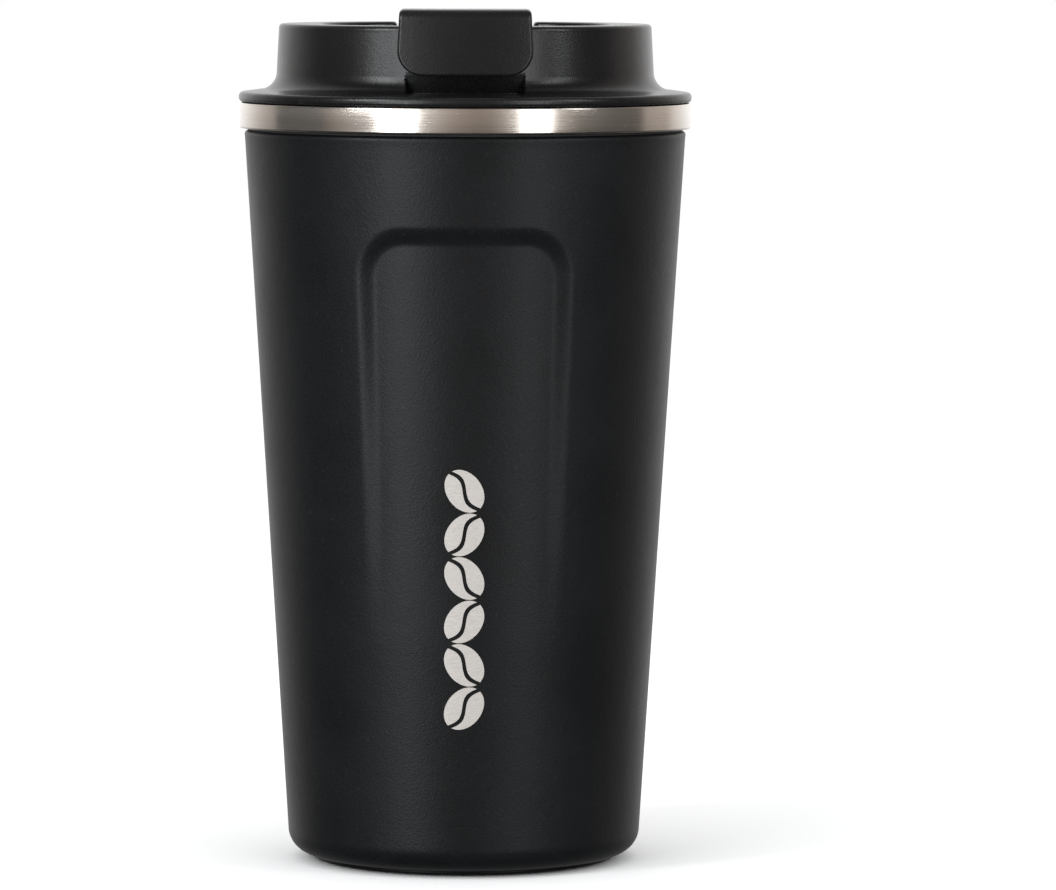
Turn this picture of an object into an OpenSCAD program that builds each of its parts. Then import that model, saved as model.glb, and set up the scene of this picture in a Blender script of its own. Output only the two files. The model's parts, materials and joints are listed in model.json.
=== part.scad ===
// Insulated travel mug: a double-wall steel flask in a tapered black case,
// closed by a push-in lid with a flip-open drinking flap.
// Millimetres. The origin is on the resting plane, under the mug's centre line.
// +Z is up. The drinking side is at -Y and the notch for the open flap is at +Y.

/* [Mug] */
// Height of the flask rim, where the lid's flange comes to rest
rim_z = 151.3; // [147.3:0.1:156.3]
// Outside radius of the steel band under the rim
band_r = 45; // [44.8:0.1:46]
// Height of the steel band
band_h = 5.1; // [4:0.1:7]
// Outside radius of the case at its top
case_top_r = 43.95; // [43.6:0.05:44.2]
// Outside radius of the case just above its bottom corner
case_low_r = 35.2; // [34:0.1:38]
// Radius of the case's bottom corner
case_corner_r = 5; // [3:0.5:6]
// Wall of the case
case_wall = 1.6; // [1.2:0.1:1.8]
// Sheet thickness of both flask walls
flask_wall = 0.5; // [0.4:0.05:0.7]
// Width of the vacuum space down the side
vacuum_gap = 2.0; // [1.6:0.1:3]
// Inside radius of the flask's mouth
mouth_r = 39.5; // [39.4:0.05:39.6]

/* [Case panels] */
// Depth of the arched panels at their top
panel_depth = 1.1; // [0.4:0.1:1.2]
// Height of the top of each panel
panel_top_z = 126.4; // [105:0.1:130]
// Height at which the panel floor runs out into the case
panel_fade_z = 48; // [30:1:70]
// Half the angle each panel covers around the case
panel_half_angle = 27.5; // [15:0.5:35]
// Corner radius at the top of each panel
panel_corner_r = 8; // [4:0.5:12]

/* [Lid] */
// Outside radius of the flange that covers the rim
flange_r = 45.1; // [44.8:0.1:46]
// Thickness of the flange at its edge
flange_h = 2.0; // [1.8:0.1:2.4]
// Outside radius of the crown
crown_r = 37.1; // [36.8:0.1:37.6]
// Height of the crown above the rim
crown_rise = 15.6; // [15.2:0.1:17]
// Thickness of the ring around the top recess
ring_h = 3.0; // [2.6:0.1:3.2]
// Width of the top recess from side to side
recess_w = 57; // [57:0.5:58]
// Depth of the top recess from front to back
recess_d = 54; // [54:0.1:54.5]
// Corner radius of the top recess
recess_corner_r = 21; // [17:0.5:21]
// Width of the rear notch that takes the tab of the open flap
notch_w = 27.6; // [27.4:0.1:30]
// Depth of the plug below the rim
plug_drop = 12.4; // [11.5:0.1:12.8]

/* [Flap] */
// Width of the thumb tab
tab_w = 26.4; // [20:0.1:26.5]
// Distance of the tab's front face from the mug's axis
tab_out_r = 40.2; // [39.8:0.1:41]
// Radius of the curve across the tab's front face
tab_face_r = 75; // [60:1:120]
// Height of the tab above the crown
tab_rise = 3.5; // [2.8:0.1:3.6]
// Distance the tab hangs below the crown
tab_drop = 9.6; // [7:0.1:10]
// Width of the hinge bar
bar_w = 5.0; // [4.6:0.1:5.2]
// Width of the grooves beside the hinge bar
groove_w = 3.5; // [3.3:0.1:4.5]
// Width of the drinking slot
spout_w = 13.4; // [9:0.1:15]
// Length of the drinking slot from front to back
spout_l = 5.4; // [4.4:0.1:6]
// Gap between the flap and the recess wall
flap_gap = 0.5; // [0.4:0.05:0.8]

/* [Fits] */
// Radius of the hinge pin
pin_r = 1.0; // [0.8:0.05:1.1]
// Radial clearance between the pin and the flap
pin_clear = 0.05; // [0.02:0.01:0.08]
// Gap between pieces that rest against each other
seat = 0.02; // [0.01:0.01:0.05]
// Gap between the lid's gasket and the flask's mouth
gasket_clear = 0.05; // [0.04:0.01:0.1]

/* [Hidden] */

$fn = 96;
eps = 0.01;

// Base of the mug
foot_z = 1.1;
low_z = 6;
pad_proud = 0.3;
pad_in_r = 20;
pad_out_r = 26;
pad_z = 1.3;
foot_r = 30.3;
foot_hole_r = 27.0;
case_gap = 0.2;
flask_z = 6.0;
liner_z = 9.0;
liner_corner_r = 9;
neck_z = rim_z - 19.4;
neck_run = 9;

// Top of the case and the steel band
band_low_z = rim_z - band_h;
case_top_z = band_low_z - 0.5;
shoulder_r = 0.7;
band_edge_r = 0.4;
taper = (case_top_r - case_low_r) / (case_top_z - low_z);

// Lid levels
lid_z = rim_z + 0.1;
flange_z = lid_z + flange_h;
crown_z = rim_z + crown_rise;
ring_z = crown_z - ring_h;
plate_z = crown_z - 3.0;
plate_low_z = plate_z - 2.5;
hinge_z = crown_z - 3.8;
bar_z = crown_z - 2.0;
bar_low_z = bar_z - 3.6;
deck_z = crown_z - 7.2;
deck_h = 2.8;
notch_z = crown_z - 3.9;
plug_z = rim_z - plug_drop;
shelf_z = lid_z + 1.8;

// Lid radii
riser_r = crown_r + 0.45;
fillet_r = 3.6;
fillet_z = flange_z + 0.4;
flange_edge_r = 0.9;
crown_edge_r = 1.0;
riser_in_r = crown_r - 2.0;
bore_r = 37.2;
core_r = riser_in_r - 0.2;
skirt_r = mouth_r - 0.9;
skirt_wall = 2.0;
wall_t = 1.5;

// Gasket groove on the plug
groove_z = plug_z + 3;
gasket_h = 4.2;
gasket_depth = 1.0;

// Flap details
tab_in_r = crown_r + 0.9;
tab_z = crown_z + tab_rise;
tab_low_z = crown_z - tab_drop;
tab_under_z = crown_z + 0.2;
tab_back_y = 24;
neck_front_y = 26.3;
neck_w = tab_w - 0.8;
plate_y = bar_w / 2 + groove_w;
spout_y = -19;
vent_y = -9.6;
vent_r = 1.4;
collar_z = deck_z + 0.6;
seal_low_z = collar_z + 0.1;
seal_pocket = 0.8;
bar_end_gap = 1.2;
boss_reach = 5;
pin_reach = 3.2;
relief_half_w = 11.5;

// Outside radius of the case at a height
function case_r(z) = case_low_r + (z - low_z) * taper;

// Radii of the flask walls at a height
function flask_out(z) = case_r(z) - case_wall - case_gap;
function flask_in(z) = flask_out(z) - flask_wall;
function liner_out(z) = flask_in(z) - vacuum_gap;
function liner_in(z) = liner_out(z) - flask_wall;

// Centre of the case's bottom corner arc
case_corner_z = foot_z + case_corner_r;
case_corner_x = case_r(case_corner_z) - case_corner_r;

// Points on an arc of radius r about [x, y]
function arc(x, y, r, a0, a1, n = 8) =
    [for (i = [0:n]) let(a = a0 + (a1 - a0) * i / n) [x + r * cos(a), y + r * sin(a)]];

// Rectangle with rounded corners, centred
module round_rect(w, d, r) {
    square([w - 2 * r, d], center = true);
    square([w, d - 2 * r], center = true);
    for (x = [-1, 1], y = [-1, 1])
        translate([x * (w / 2 - r), y * (d / 2 - r)]) circle(r = r);
}

// Slot with full-round ends, centred
module slot(w, d) {
    square([w - d, d], center = true);
    for (x = [-1, 1]) translate([x * (w - d) / 2, 0]) circle(r = d / 2);
}

// Prism of the recess outline grown by g, between two heights
module recess_prism(g, z0, z1) {
    translate([0, 0, z0])
        linear_extrude(z1 - z0)
            round_rect(recess_w + 2 * g, recess_d + 2 * g, recess_corner_r + g);
}

// Box between two corners
module box(lo, hi) {
    translate(lo) cube(hi - lo);
}

// Outer shape of the case, solid
module case_outside() {
    rotate_extrude()
        polygon(concat(
            [[0, foot_z]],
            arc(case_corner_x, case_corner_z, case_corner_r, -90, 0),
            arc(case_top_r - shoulder_r, case_top_z - shoulder_r, shoulder_r, 0, 90, 5),
            [[0, case_top_z]]
        ));
}

// Volume between the panel floor and beyond the case, inside one arch
module panel_cut() {
    half = case_r(panel_top_z) * sin(panel_half_angle);
    low_half = case_r(panel_fade_z - 4) * sin(panel_half_angle);
    floor_top_r = case_r(panel_top_z) - panel_depth;
    run = panel_top_z - panel_fade_z;
    slope = (floor_top_r - case_r(panel_fade_z)) / run;
    over = 6;
    difference() {
        translate([0, -case_top_r * 0.6, 0])
            rotate([90, 0, 0])
                linear_extrude(case_top_r)
                    polygon(concat(
                        [[-low_half, panel_fade_z - 4], [low_half, panel_fade_z - 4]],
                        arc(half - panel_corner_r, panel_top_z - panel_corner_r,
                            panel_corner_r, 0, 90),
                        arc(panel_corner_r - half, panel_top_z - panel_corner_r,
                            panel_corner_r, 90, 180)
                    ));
        translate([0, 0, panel_fade_z - over])
            cylinder(h = run + 2 * over,
                r1 = case_r(panel_fade_z) - slope * over,
                r2 = floor_top_r + slope * over);
    }
}

// Black outer case with an arched panel at the front and at the back
module case_shell() {
    color("#17191b")
    difference() {
        case_outside();
        rotate_extrude()
            polygon(concat(
                [[0, foot_z + case_wall]],
                arc(case_corner_x, case_corner_z, case_corner_r - case_wall, -90, 0, 6),
                [[case_top_r - case_wall, case_top_z + 1], [0, case_top_z + 1]]
            ));
        translate([0, 0, foot_z - 1]) cylinder(h = case_wall + 2, r = foot_hole_r);
        panel_cut();
        mirror([0, 1, 0]) panel_cut();
    }
}

// Thin black ring between the case and the steel band
module case_seal_ring() {
    color("#0c0c0d")
    translate([0, 0, case_top_z + seat])
        difference() {
            cylinder(h = band_low_z - case_top_z - 2 * seat, r = case_top_r - 0.6);
            translate([0, 0, -1]) cylinder(h = 3, r = flask_out(band_low_z) + 0.1);
        }
}

// Outer flask wall, turned out at its top into the visible steel band
module vacuum_wall() {
    step_z = band_low_z + flask_wall;
    color("#b9b8b4")
    rotate_extrude()
        polygon(concat(
            [[flask_out(flask_z), flask_z], [flask_out(band_low_z), band_low_z]],
            arc(band_r - band_edge_r, band_low_z + band_edge_r, band_edge_r, -90, 0, 4),
            arc(band_r - band_edge_r, rim_z - band_edge_r, band_edge_r, 0, 90, 4),
            [[band_r - flask_wall, rim_z], [band_r - flask_wall, step_z]],
            [[flask_in(step_z), step_z], [flask_in(flask_z), flask_z]]
        ));
}

// Inner cup with its rim rolled out to the band
module inner_liner() {
    t = flask_wall;
    c = liner_corner_r;
    corner_z = liner_z + c;
    out_x = liner_out(corner_z) - c;
    lip_r = band_r - flask_wall - seat;
    color("#c9c8c4")
    rotate_extrude()
        polygon(concat(
            [[0, liner_z]],
            arc(out_x, corner_z, c, -90, 0),
            [[liner_out(neck_z - neck_run), neck_z - neck_run]],
            [[mouth_r + t, neck_z], [mouth_r + t, rim_z - t]],
            [[lip_r, rim_z - t], [lip_r, rim_z]],
            arc(mouth_r + 0.6, rim_z - 0.6, 0.6, 90, 180, 4),
            [[mouth_r, neck_z], [liner_in(neck_z - neck_run), neck_z - neck_run]],
            arc(out_x, corner_z, c - t, 0, -90),
            [[0, liner_z + t]]
        ));
}

// Heat-reflecting foil wrapped round the inner cup
module radiant_foil() {
    foil_t = 0.1;
    z0 = liner_z + liner_corner_r + 4;
    z1 = neck_z - neck_run - 2;
    color("#b87348")
    rotate_extrude()
        polygon([
            [liner_out(z0) + seat, z0],
            [liner_out(z0) + seat + foil_t, z0],
            [liner_out(z1) + seat + foil_t, z1],
            [liner_out(z1) + seat, z1]
        ]);
}

// Disc that closes the outer flask wall, with a dimple for the seal bead
module flask_bottom() {
    edge_r = flask_in(flask_z) - seat;
    dimple_r = 7;
    dimple_h = 1.3;
    t = flask_wall;
    color("#b0afab")
    rotate_extrude()
        polygon([
            [0.6, flask_z + dimple_h],
            [dimple_r - 1.5, flask_z + dimple_h],
            [dimple_r, flask_z],
            [edge_r, flask_z],
            [edge_r, flask_z + t],
            [dimple_r + 0.5, flask_z + t],
            [dimple_r - 1, flask_z + dimple_h + t],
            [0.6, flask_z + dimple_h + t]
        ]);
}

// Gas-absorbing ring in the vacuum space
module getter() {
    color("#7d7c7a")
    translate([0, 0, flask_z + flask_wall + seat])
        difference() {
            cylinder(h = 1.2, r = 16);
            translate([0, 0, -1]) cylinder(h = 4, r = 12);
        }
}

// Solder bead that closes the evacuation hole
module seal_bead() {
    color("#8f9294")
    translate([0, 0, flask_z + 1.3 - seat])
        mirror([0, 0, 1])
            rotate_extrude()
                polygon(concat([[0, 0]], arc(0, -0.9, 2.2, 24, 90, 6)));
}

// Foam ring that holds the flask off the case floor
module bottom_spacer() {
    z0 = foot_z + case_wall + seat;
    color("#3a3a3c")
    translate([0, 0, z0])
        difference() {
            cylinder(h = flask_z - z0 - seat, r = case_corner_x - 0.3);
            translate([0, 0, -1]) cylinder(h = 6, r = foot_hole_r + 0.6);
        }
}

// Foot ring and cap that close the case floor
module base_cap() {
    plug_r = foot_hole_r - 0.1;
    ring_r = plug_r - 1.6;
    edge_r = 0.4;
    disc_h = 1.2;
    color("#1c1c1e")
    rotate_extrude()
        polygon(concat(
            arc(foot_r - edge_r, pad_proud + edge_r, edge_r, -90, 0, 4),
            [[foot_r, foot_z - seat], [plug_r, foot_z - seat]],
            [[plug_r, foot_z + case_wall + 0.6], [ring_r, foot_z + case_wall + 0.6]],
            [[ring_r, pad_z + disc_h], [0, pad_z + disc_h]],
            [[0, pad_z], [pad_in_r - 2, pad_z], [pad_in_r - 1.4, pad_proud]],
            [[pad_in_r, pad_proud], [pad_in_r, pad_z], [pad_out_r, pad_z]],
            [[pad_out_r, pad_proud]]
        ));
}

// Non-slip ring the mug stands on
module base_pad() {
    color("#101011")
    rotate_extrude()
        polygon([
            [pad_in_r + 0.1, pad_proud], [pad_in_r + 0.4, 0],
            [pad_out_r - 0.4, 0], [pad_out_r - 0.1, pad_proud],
            [pad_out_r - 0.1, pad_z - seat], [pad_in_r + 0.1, pad_z - seat]
        ]);
}

// Revolved shell of the lid: flange, fillet, riser and crown
module lid_shell() {
    e = flange_edge_r;
    c = crown_edge_r;
    bore_z = shelf_z + 0.1;
    rotate_extrude()
        polygon(concat(
            [[bore_r, lid_z]],
            arc(flange_r - e, lid_z + e, e, -90, 0, 5),
            arc(flange_r - e, flange_z - e, e, 0, 85, 5),
            arc(riser_r + fillet_r, fillet_z + fillet_r, fillet_r, 270, 180, 10),
            arc(crown_r - c, crown_z - c, c, 0, 90, 6),
            [[15, crown_z], [15, ring_z], [riser_in_r, ring_z]],
            [[riser_in_r + 0.4, bore_z], [bore_r, bore_z]]
        ));
}

// Lid cover with the top recess, hinge bosses, rear notch and finger relief
module lid_cover() {
    side = recess_w / 2;
    boss_half = 3.6;
    color("#202122")
    difference() {
        union() {
            lid_shell();
            recess_prism(wall_t, deck_z + 0.1, ring_z + 0.2);
            for (s = [0, 1])
                mirror([s, 0, 0])
                    box([side - 1, -boss_half, deck_z + 0.2],
                        [side + boss_reach, boss_half, ring_z + 0.2]);
        }
        recess_prism(0, deck_z - 1, crown_z + 1);
        box([-notch_w / 2, tab_back_y, notch_z], [notch_w / 2, 60, crown_z + 1]);
        intersection() {
            box([-notch_w / 2, tab_back_y, deck_z], [notch_w / 2, 60, crown_z + 1]);
            cylinder(h = crown_z + 2, r = core_r + 0.1);
        }
        translate([-side - pin_reach - 0.1, 0, hinge_z])
            rotate([0, 90, 0])
                cylinder(h = recess_w + 2 * pin_reach + 0.2, r = pin_r + seat);
        finger_relief();
    }
}

// Finger hold under the tab, undercut into the riser
module finger_relief() {
    rise = 4;
    undercut = 1.4;
    difference() {
        box([-relief_half_w, -60, fillet_z], [relief_half_w, -20, fillet_z + rise]);
        translate([0, 0, fillet_z])
            cylinder(h = rise, r1 = riser_r - undercut, r2 = riser_r);
    }
}

// Inner moulding: deck with the drinking slot, drink and vent tubes, and plug skirt
module lid_core() {
    s = skirt_r;
    g = gasket_depth;
    under_z = deck_z - deck_h;
    color("#26272a")
    difference() {
        union() {
            rotate_extrude()
                polygon([
                    [s - 0.8, plug_z], [s, plug_z + 1.2],
                    [s, groove_z], [s - g, groove_z],
                    [s - g, groove_z + gasket_h], [s, groove_z + gasket_h],
                    [s, lid_z - seat], [bore_r - 0.1, lid_z - seat],
                    [bore_r - 0.1, shelf_z], [core_r, shelf_z],
                    [core_r, deck_z], [0, deck_z],
                    [0, under_z], [core_r - 2.5, under_z],
                    [s - skirt_wall - 1.5, shelf_z - 3.5],
                    [s - skirt_wall, lid_z - 3], [s - skirt_wall, plug_z]
                ]);
            translate([0, spout_y, plug_z + 0.2])
                linear_extrude(collar_z - plug_z - 0.2) slot(spout_w + 3.2, spout_l + 3.2);
            translate([0, vent_y, plug_z + 0.2])
                cylinder(h = collar_z - plug_z - 0.2, r = vent_r + 1.3);
        }
        translate([0, spout_y, plug_z - 1])
            linear_extrude(collar_z - plug_z + 2) slot(spout_w, spout_l);
        translate([0, vent_y, plug_z - 1]) cylinder(h = collar_z - plug_z + 2, r = vent_r);
    }
}

// Disc that closes the underside of the plug around both tubes
module lid_floor() {
    fit = 0.1;
    t = 1.6;
    color("#232427")
    translate([0, 0, plug_z + 0.6])
        difference() {
            cylinder(h = t, r = skirt_r - skirt_wall - fit);
            translate([0, spout_y, -1])
                linear_extrude(t + 2) slot(spout_w + 3.2 + 2 * fit, spout_l + 3.2 + 2 * fit);
            translate([0, vent_y, -1]) cylinder(h = t + 2, r = vent_r + 1.3 + fit);
        }
}

// Fixed plate behind the hinge bar
module deck_plate() {
    half_notch = notch_w / 2 + 0.6;
    color("#202122")
    difference() {
        recess_prism(-0.2, deck_z + seat, plate_z);
        box([-40, -40, 0], [40, plate_y, crown_z + 5]);
        box([-half_notch, tab_back_y, 0], [half_notch, 40, crown_z + 5]);
    }
}

// Pad in the rear notch, where the open flap's tab comes to rest
module notch_pad() {
    half = notch_w / 2 - 1;
    color("#2b2c2e")
    intersection() {
        cylinder(h = notch_z, r = core_r - 0.1);
        box([-half, tab_back_y + 0.25, deck_z + seat], [half, 40, notch_z]);
    }
}

// Silicone ring with three lips that seals the plug in the mouth
module main_gasket() {
    r0 = skirt_r - gasket_depth + 0.05;
    r1 = skirt_r + 0.1;
    lip_r = mouth_r - gasket_clear;
    z0 = groove_z + 0.1;
    h = gasket_h - 0.2;
    color("#4a4b4d")
    rotate_extrude()
        union() {
            translate([r0, z0]) square([r1 - r0, h]);
            for (i = [0:2])
                translate([r1 - eps, z0 + 0.3 + i * 1.3])
                    polygon([[0, 0], [lip_r - r1 + eps, 0.3], [lip_r - r1 + eps, 0.5], [0, 0.8]]);
        }
}

// Steel pin through the hinge bar
module hinge_pin() {
    reach = recess_w / 2 + pin_reach;
    color("#c4c4c2")
    translate([-reach, 0, hinge_z]) rotate([0, 90, 0]) cylinder(h = 2 * reach, r = pin_r);
}

// Section of the hinge bar, with a rounded top
module bar_section() {
    r = 1.1;
    half = bar_w / 2;
    h = bar_z - bar_low_z;
    translate([-half, 0]) square([bar_w, h - r]);
    translate([r - half, 0]) square([bar_w - 2 * r, h]);
    for (y = [-1, 1]) translate([y * (half - r), h - r]) circle(r = r);
}

// Front outline of the tab, extruded towards the front
module tab_prism() {
    low_c = 5;
    top_c = 1;
    half = tab_w / 2;
    top_half = half - 0.4;
    translate([0, -tab_back_y, 0])
        rotate([90, 0, 0])
            linear_extrude(30)
                polygon(concat(
                    arc(half - low_c, tab_low_z + low_c, low_c, -90, 0),
                    arc(top_half - top_c, tab_z - top_c, top_c, 0, 90, 4),
                    arc(top_c - top_half, tab_z - top_c, top_c, 90, 180, 4),
                    arc(low_c - half, tab_low_z + low_c, low_c, 180, 270)
                ));
}

// Form of the tab: over the ring and down the outside of the riser, with a gently curved front
module tab_sweep() {
    edge_r = 2.2;
    tip_r = 0.8;
    f = tab_face_r;
    back_r = f - 20;
    difference() {
        translate([0, f - tab_out_r, 0])
            rotate_extrude()
                polygon(concat(
                    [[back_r, tab_low_z]],
                    arc(f - tip_r, tab_low_z + tip_r, tip_r, -90, 0, 4),
                    arc(f - edge_r, tab_z - edge_r, edge_r, 0, 90, 8),
                    [[back_r, tab_z]]
                ));
        cylinder(h = tab_under_z, r = tab_in_r);
    }
}

// Flap: hinge bar, web, front plate, neck and thumb tab
module flap() {
    bar_reach = recess_w / 2 - bar_end_gap;
    color("#1e1f20")
    difference() {
        union() {
            translate([-bar_reach, 0, bar_low_z])
                rotate([90, 0, 90])
                    linear_extrude(2 * bar_reach) bar_section();
            box([-bar_reach, -plate_y - 1, bar_low_z], [bar_reach, 0, bar_low_z + 1.2]);
            difference() {
                recess_prism(-flap_gap, plate_low_z, plate_z);
                box([-40, -plate_y, 0], [40, 40, crown_z + 5]);
            }
            box([-neck_w / 2, -neck_front_y, plate_low_z],
                [neck_w / 2, -tab_back_y, tab_under_z + 0.5]);
            intersection() {
                tab_prism();
                tab_sweep();
            }
        }
        translate([-bar_reach - 1, 0, hinge_z])
            rotate([0, 90, 0])
                cylinder(h = 2 * bar_reach + 2, r = pin_r + pin_clear);
        translate([0, spout_y, plate_low_z - 1])
            linear_extrude(1 + seal_pocket) slot(spout_w + 5, spout_l + 4);
        translate([0, vent_y, plate_low_z - 1]) cylinder(h = 1 + seal_pocket, r = 2.7);
    }
}

// Silicone pad and nose that close the drinking slot
module drink_seal() {
    nose = 1.2;
    side_gap = 0.6;
    color("#54565a")
    translate([0, spout_y, 0]) {
        translate([0, 0, seal_low_z])
            linear_extrude(plate_low_z + seal_pocket - seat - seal_low_z)
                slot(spout_w + 5 - 0.1, spout_l + 4 - 0.1);
        translate([0, 0, deck_z - nose])
            linear_extrude(seal_low_z - deck_z + nose + eps)
                slot(spout_w - 2 * side_gap, spout_l - 2 * side_gap);
    }
}

// Silicone button that closes the vent
module vent_seal() {
    nose = 0.2;
    color("#54565a")
    translate([0, vent_y, 0]) {
        translate([0, 0, seal_low_z])
            cylinder(h = plate_low_z + seal_pocket - seat - seal_low_z, r = 2.65);
        translate([0, 0, deck_z - nose])
            cylinder(h = seal_low_z - deck_z + nose + eps, r = vent_r - 0.6);
    }
}

case_shell();
case_seal_ring();
vacuum_wall();
inner_liner();
radiant_foil();
flask_bottom();
getter();
seal_bead();
bottom_spacer();
base_cap();
base_pad();
lid_cover();
lid_core();
lid_floor();
deck_plate();
notch_pad();
main_gasket();
hinge_pin();
flap();
drink_seal();
vent_seal();
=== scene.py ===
"""Looks for the insulated travel mug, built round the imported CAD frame.

Lengths in the shape code are millimetres. The scene itself is in metres.
"""

import json
import math

import bmesh
import bpy
import numpy as np
import openvdb
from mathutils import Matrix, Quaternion, Vector


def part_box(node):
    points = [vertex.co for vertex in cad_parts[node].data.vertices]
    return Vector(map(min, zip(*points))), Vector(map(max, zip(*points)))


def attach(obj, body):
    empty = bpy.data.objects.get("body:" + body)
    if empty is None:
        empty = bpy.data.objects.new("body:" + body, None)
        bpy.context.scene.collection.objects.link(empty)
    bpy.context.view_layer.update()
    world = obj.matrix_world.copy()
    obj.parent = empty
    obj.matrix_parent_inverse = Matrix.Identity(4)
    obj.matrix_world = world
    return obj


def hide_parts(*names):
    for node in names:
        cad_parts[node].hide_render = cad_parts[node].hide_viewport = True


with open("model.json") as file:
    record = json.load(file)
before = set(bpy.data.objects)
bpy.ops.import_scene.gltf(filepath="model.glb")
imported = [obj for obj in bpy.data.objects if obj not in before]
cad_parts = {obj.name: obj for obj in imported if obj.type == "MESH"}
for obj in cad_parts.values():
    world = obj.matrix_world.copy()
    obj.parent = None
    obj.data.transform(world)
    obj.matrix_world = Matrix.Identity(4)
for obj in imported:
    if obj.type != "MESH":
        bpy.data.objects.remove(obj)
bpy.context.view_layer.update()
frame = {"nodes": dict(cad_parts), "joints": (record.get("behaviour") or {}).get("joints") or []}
nodes = frame["nodes"]
MM = 0.001


# ---------------------------------------------------------------- levels taken from the CAD frame
def low(node, axis=2):
    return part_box(node)[0][axis] / MM


def high(node, axis=2):
    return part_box(node)[1][axis] / MM


FLANGE_Z, CROWN_Z, FLANGE_R = low("lid_cover"), high("lid_cover"), high("lid_cover", 0)
RIM_Z, BAND_R = high("vacuum_wall"), high("vacuum_wall", 0)
CASE_LOW_Z, CASE_TOP_Z = low("case_shell"), high("case_shell")
RING_TOP_Z, RING_LOW_Z = high("case_seal_ring"), low("case_seal_ring")
DECK_Z = low("deck_plate")
PLATE_Z = high("deck_plate")
NOTCH_Z = high("notch_pad")
TAB_TOP_Z, TAB_LOW_Z = high("flap"), low("flap")
PLUG_Z = low("lid_core")
HINGE_Z = next(j["pos_m"][2] for j in frame["joints"] if j["type"] == "hinge") / MM

# Design sizes that the boxes don't give
CASE_TOP_R, CASE_LOW_R, CASE_STRAIGHT_Z, CASE_CORNER_R = 43.95, 35.2, 6.0, 5.0
CASE_WALL, CASE_HOLE_R, CASE_GAP, SHEET, VACUUM_GAP = 1.6, 27.0, 0.2, 0.5, 2.0
CROWN_R, RISER_R, FILLET_R = 37.1, 37.55, 3.6
RECESS_W, RECESS_D, RECESS_R = 57.0, 54.0, 21.0
NOTCH_HALF, TAB_BACK_Y = 13.8, 24.0
BORE_R, CORE_R, SKIRT_R, SKIRT_WALL = 37.2, 34.9, 38.6, 2.0
SHELF_Z = FLANGE_Z + 1.8
RELIEF_Z, RELIEF_H, RELIEF_HALF, UNDERCUT = FLANGE_Z + 2.4, 4.0, 11.5, 1.4
TAB_OUT, TAB_FACE_R = -low("flap", 1), 75.0
SPOUT_Y, SPOUT_W, SPOUT_L, VENT_Y, VENT_R = -19.0, 13.4, 5.4, -9.6, 1.4
COLLAR_Z = DECK_Z + 0.6
MOUTH_R, NECK_DROP = 39.5, 19.4

# Lid cover: the flange's top, the riser's taper, and the back and lean of the finger hold
FLANGE_EDGE_H, FLANGE_RISE, FLANGE_SLOPE_W, FLANGE_ROUND = 2.0, 0.4, 3.0, 0.9
TAPER_START, TAPER_H = 6, 8.5
RELIEF_BACK_Y, UNDERCUT_COS = -20, 0.94

# Plug: the skirt's lead-in at the bottom, the solid end, and the groove for the gasket
LEAD_H, PLUG_END_H = 1.2, 4
GROOVE_LOW, GROOVE_HIGH, GROOVE_DEPTH = 3, 7.2, 1.0
SHELL_T = 2.8

# Flap: hinge bar, web, neck and thumb tab, and the seats for its two seals
BAR_HALF, PIN_BORE_R, PLATE_T = 27.3, 1.05, 2.5
HINGE_GAP_Y = 6.0
NECK_HALF, NECK_FRONT_Y = 12.8, -26.3
TAB_HALF, TAB_TAPER, TAB_TOP_CORNER, TAB_LOW_CORNER, TAB_BOW = 13.2, 0.4, 1.1, 5.0, 0.6
SEAT_DEPTH, SEAL_DEPTH = 1.7, 1.72


# ---------------------------------------------------------------- distance fields
def length(a, b):
    return np.sqrt(a * a + b * b)


def clamp(v, a=0.0, b=1.0):
    return np.minimum(np.maximum(v, a), b)


def ease(t):
    t = clamp(t)
    return t * t * (3 - 2 * t)


def both(a, b, r=0.0):
    """Where a and b overlap, with an outside edge of radius r."""
    if r <= 0:
        return np.maximum(a, b)
    return np.minimum(-r, np.maximum(a, b)) + length(np.maximum(a + r, 0), np.maximum(b + r, 0))


def join(a, b, r=0.0):
    """a and b together, with an inside corner of radius r."""
    if r <= 0:
        return np.minimum(a, b)
    return np.maximum(r, np.minimum(a, b)) - length(np.maximum(r - a, 0), np.maximum(r - b, 0))


def cut(a, b, r=0.0):
    """a without b, with an outside edge of radius r."""
    return both(a, -b, r)


def rect(x, y, hx, hy, r=0.0):
    """Rectangle with rounded corners."""
    qx, qy = np.abs(x) - hx + r, np.abs(y) - hy + r
    return length(np.maximum(qx, 0), np.maximum(qy, 0)) + np.minimum(np.maximum(qx, qy), 0) - r


def brick(x, y, z, hx, hy, hz, r=0.0):
    """Box with every edge rounded."""
    qx, qy, qz = np.abs(x) - hx + r, np.abs(y) - hy + r, np.abs(z) - hz + r
    out = np.sqrt(np.maximum(qx, 0) ** 2 + np.maximum(qy, 0) ** 2 + np.maximum(qz, 0) ** 2)
    return out + np.minimum(np.maximum(np.maximum(qx, qy), qz), 0) - r


def slot(x, y, w, d):
    """Slot with full-round ends."""
    return length(np.maximum(np.abs(x) - (w - d) / 2, 0), y) - d / 2


def slab(z, z0, z1):
    return np.abs(z - (z0 + z1) / 2) - (z1 - z0) / 2


def recess(x, y, grow=0.0):
    return rect(x, y, RECESS_W / 2 + grow, RECESS_D / 2 + grow, RECESS_R + grow)


# ---------------------------------------------------------------- meshes
def mesh_object(name, points, faces):
    mesh = bpy.data.meshes.new(name)
    mesh.from_pydata([tuple(p) for p in points], [], faces)
    mesh.update()
    mesh.shade_smooth()
    o = bpy.data.objects.new(name, mesh)
    bpy.context.scene.collection.objects.link(o)
    return o


def gradient(f, p, h=0.02):
    g = np.empty_like(p)
    for a in range(3):
        q0, q1 = p.copy(), p.copy()
        q0[:, a] -= h
        q1[:, a] += h
        g[:, a] = (f(*q1.T) - f(*q0.T)) / (2 * h)
    return g


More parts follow.
